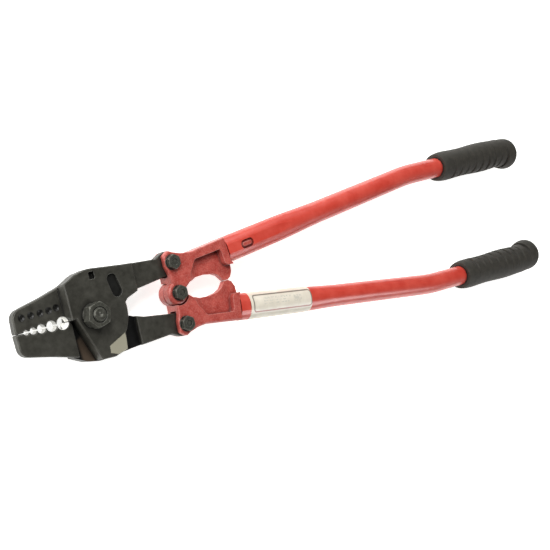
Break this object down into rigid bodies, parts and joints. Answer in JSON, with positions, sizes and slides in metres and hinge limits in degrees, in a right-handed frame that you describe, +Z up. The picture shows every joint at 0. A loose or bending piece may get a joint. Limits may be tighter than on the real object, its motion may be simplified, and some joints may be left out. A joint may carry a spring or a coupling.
{
  "type": "hand crimping tool",
  "caption": "Long-handled hand crimping tool for wire-rope sleeves, with stepped round dies in two short jaws, forked red yokes, bent tube handles and black grips.",
  "frame": {"origin": "bottom centre of the bounding box, tool closed and lying flat", "axes": "+X from the jaws to the grips, +Y towards the upper handle, +Z up, along every pivot axis"},
  "size_m": [0.6044, 0.1462, 0.038],
  "materials": {
    "jaw_steel": "dark warm grey phosphate over forged and machined steel",
    "fastener_steel": "black oxide, lightly oiled",
    "yoke_paint": "red powder coat over a forged surface",
    "tube_paint": "glossy red paint",
    "grip_rubber": "matte moulded rubber",
    "label_film": "off-white printed film, print left out"
  },
  "bodies": {
    "upper_handle": {"upper_yoke": "yoke_paint", "upper_handle_tube": "tube_paint", "upper_grip": "grip_rubber", "centre_pivot_pin": "fastener_steel", "centre_pivot_washer": "fastener_steel", "centre_pivot_back_washer": "fastener_steel", "centre_pivot_clip": "fastener_steel", "upper_link_bolt": "fastener_steel", "upper_link_washer": "fastener_steel", "upper_link_back_washer": "fastener_steel", "upper_link_nut": "fastener_steel"},
    "lower_handle": {"lower_yoke": "yoke_paint", "lower_handle_tube": "tube_paint", "lower_grip": "grip_rubber", "handle_label": "label_film", "lower_link_bolt": "fastener_steel", "lower_link_washer": "fastener_steel", "lower_link_back_washer": "fastener_steel", "lower_link_nut": "fastener_steel"},
    "upper_jaw_set": {"upper_jaw": "jaw_steel", "main_pivot_bolt": "fastener_steel", "main_pivot_nut": "fastener_steel", "main_pivot_washer": "fastener_steel", "main_pivot_back_washer": "fastener_steel"},
    "lower_jaw_set": {"lower_jaw": "jaw_steel"}
  },
  "joints": [
    {"name": "handle_pivot", "type": "hinge", "parent": "upper_handle", "child": "lower_handle", "pos_m": [-0.17226, 0, 0.01795], "axis": [0, 0, -1], "range_deg": [0, 90]},
    {"name": "upper_jaw_pivot", "type": "hinge", "parent": "upper_handle", "child": "upper_jaw_set", "pos_m": [-0.17226, 0.0233, 0.01795], "axis": [0, 0, -1], "range_deg": [0, 50.2]},
    {"name": "lower_jaw_pivot", "type": "hinge", "parent": "lower_handle", "child": "lower_jaw_set", "pos_m": [-0.17226, -0.0233, 0.01795], "axis": [0, 0, 1], "range_deg": [0, 50.2]}
  ],
  "couplings": [
    {"joint": "upper_jaw_pivot", "follows": "handle_pivot", "ratio": 0.55684},
    {"joint": "lower_jaw_pivot", "follows": "handle_pivot", "ratio": 0.55684}
  ]
}
